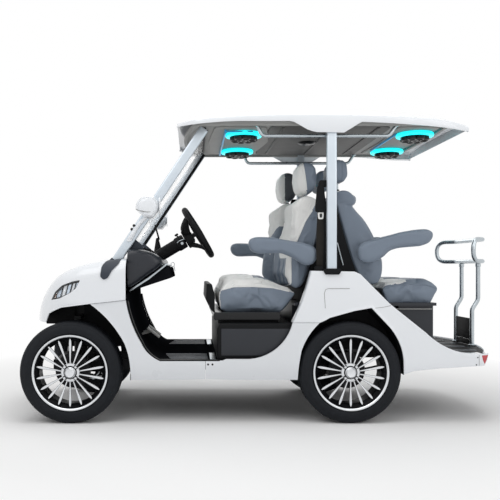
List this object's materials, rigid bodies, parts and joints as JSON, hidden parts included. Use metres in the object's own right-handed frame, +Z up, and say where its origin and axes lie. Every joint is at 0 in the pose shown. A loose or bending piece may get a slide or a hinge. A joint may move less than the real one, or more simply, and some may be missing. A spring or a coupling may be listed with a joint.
{
  "type": "electric golf cart, four seats",
  "caption": "Open electric golf cart with two forward and two rearward seats, a fixed roof, a clear windscreen, a rear step and a safety rail.",
  "frame": {"origin": "on the ground below the middle of the overall length and width", "axes": "+X to the front, +Y to the cart's left side, +Z up"},
  "size_m": [2.924, 1.336, 1.902],
  "materials": {
    "white_body": "gloss",
    "black_moulding": "satin",
    "dark_dash": "satin",
    "tyre_rubber": "matte",
    "cast_alloy": "machined",
    "frame_steel": "satin",
    "bright_tube": "satin",
    "seat_vinyl": "satin",
    "arm_vinyl": "satin",
    "liner_grey": "satin",
    "clear_glass": "polished",
    "lamp_clear": "polished",
    "lamp_red": "gloss",
    "belt_webbing": "woven"
  },
  "bodies": {
    "chassis": {"chassis_frame": "frame_steel", "battery_pack": "frame_steel", "front_axle_beam": "frame_steel", "rear_axle": "frame_steel", "springs": "frame_steel", "front_cowl": "white_body", "headlamps": "lamp_clear", "strut_boots": "dark_dash", "front_struts": "bright_tube", "front_side_panels": "white_body", "rear_side_panels": "white_body", "rear_quarters": "white_body", "wheel_liners": "black_moulding", "floor_tub": "black_moulding", "rear_deck": "black_moulding", "tail_panel": "white_body", "tail_lamps": "lamp_red", "dash": "dark_dash", "dash_lower": "black_moulding", "steering_column": "black_moulding", "pedals": "bright_tube", "seat_base": "black_moulding", "front_cushions": "seat_vinyl", "front_backs": "seat_vinyl", "headrests": "seat_vinyl", "armrest_pins": "bright_tube", "rear_seat_box": "black_moulding", "rear_cushions": "seat_vinyl", "rear_backs": "seat_vinyl", "seat_divider": "black_moulding", "seat_belts": "belt_webbing", "roof_skin": "white_body", "headliner": "liner_grey", "roof_pods": "black_moulding", "windscreen": "clear_glass", "rear_pillars": "bright_tube", "grab_rails": "bright_tube", "mirrors": "white_body", "rear_rail": "bright_tube", "rail_panel": "black_moulding"},
    "rack": {"rack_bar": "bright_tube"},
    "hand_wheel": {"steering_wheel": "black_moulding"},
    "knuckle_left": {"knuckle_left": "frame_steel"},
    "front_left": {"tyre_front_left": "tyre_rubber", "wheel_front_left": "cast_alloy"},
    "rear_left": {"tyre_rear_left": "tyre_rubber", "wheel_rear_left": "cast_alloy"},
    "arm_front_left": {"armrest_front_left": "arm_vinyl"},
    "arm_rear_left": {"armrest_rear_left": "arm_vinyl"},
    "knuckle_right": {"knuckle_right": "frame_steel"},
    "front_right": {"tyre_front_right": "tyre_rubber", "wheel_front_right": "cast_alloy"},
    "rear_right": {"tyre_rear_right": "tyre_rubber", "wheel_rear_right": "cast_alloy"},
    "arm_front_right": {"armrest_front_right": "arm_vinyl"},
    "arm_rear_right": {"armrest_rear_right": "arm_vinyl"}
  },
  "joints": [
    {"name": "steer_left", "type": "hinge", "parent": "chassis", "child": "knuckle_left", "pos_m": [1.16, 0.4, 0.302], "axis": [0, 0, 1], "range_deg": [-30, 30]},
    {"name": "roll_front_left", "type": "hinge", "parent": "knuckle_left", "child": "front_left", "pos_m": [1.16, 0.49, 0.302], "axis": [0, 1, 0], "continuous": true},
    {"name": "roll_rear_left", "type": "hinge", "parent": "chassis", "child": "rear_left", "pos_m": [-0.505, 0.49, 0.302], "axis": [0, 1, 0], "continuous": true},
    {"name": "lift_front_left", "type": "hinge", "parent": "chassis", "child": "arm_front_left", "pos_m": [-0.272, 0.5, 0.99], "axis": [0, -1, 0], "range_deg": [0, 80]},
    {"name": "lift_rear_left", "type": "hinge", "parent": "chassis", "child": "arm_rear_left", "pos_m": [-0.618, 0.5, 1.008], "axis": [0, 1, 0], "range_deg": [0, 80]},
    {"name": "steer_right", "type": "hinge", "parent": "chassis", "child": "knuckle_right", "pos_m": [1.16, -0.4, 0.302], "axis": [0, 0, 1], "range_deg": [-30, 30]},
    {"name": "roll_front_right", "type": "hinge", "parent": "knuckle_right", "child": "front_right", "pos_m": [1.16, -0.49, 0.302], "axis": [0, 1, 0], "continuous": true},
    {"name": "roll_rear_right", "type": "hinge", "parent": "chassis", "child": "rear_right", "pos_m": [-0.505, -0.49, 0.302], "axis": [0, 1, 0], "continuous": true},
    {"name": "lift_front_right", "type": "hinge", "parent": "chassis", "child": "arm_front_right", "pos_m": [-0.222, -0.5, 0.99], "axis": [0, -1, 0], "range_deg": [0, 80]},
    {"name": "lift_rear_right", "type": "hinge", "parent": "chassis", "child": "arm_rear_right", "pos_m": [-0.618, -0.5, 1.008], "axis": [0, 1, 0], "range_deg": [0, 80]},
    {"name": "rack_slide", "type": "slide", "parent": "chassis", "child": "rack", "axis": [0, 1, 0], "range_m": [-0.055, 0.055]},
    {"name": "steer_wheel", "type": "hinge", "parent": "chassis", "child": "hand_wheel", "pos_m": [0.399, 0.24, 1.15], "axis": [-0.8572, 0, 0.515], "range_deg": [-360, 360]}
  ],
  "couplings": [
    {"joint": "steer_right", "follows": "steer_left", "ratio": 1},
    {"joint": "rack_slide", "follows": "steer_left", "m_per_rad": -0.105},
    {"joint": "steer_wheel", "follows": "steer_left", "ratio": 12}
  ]
}
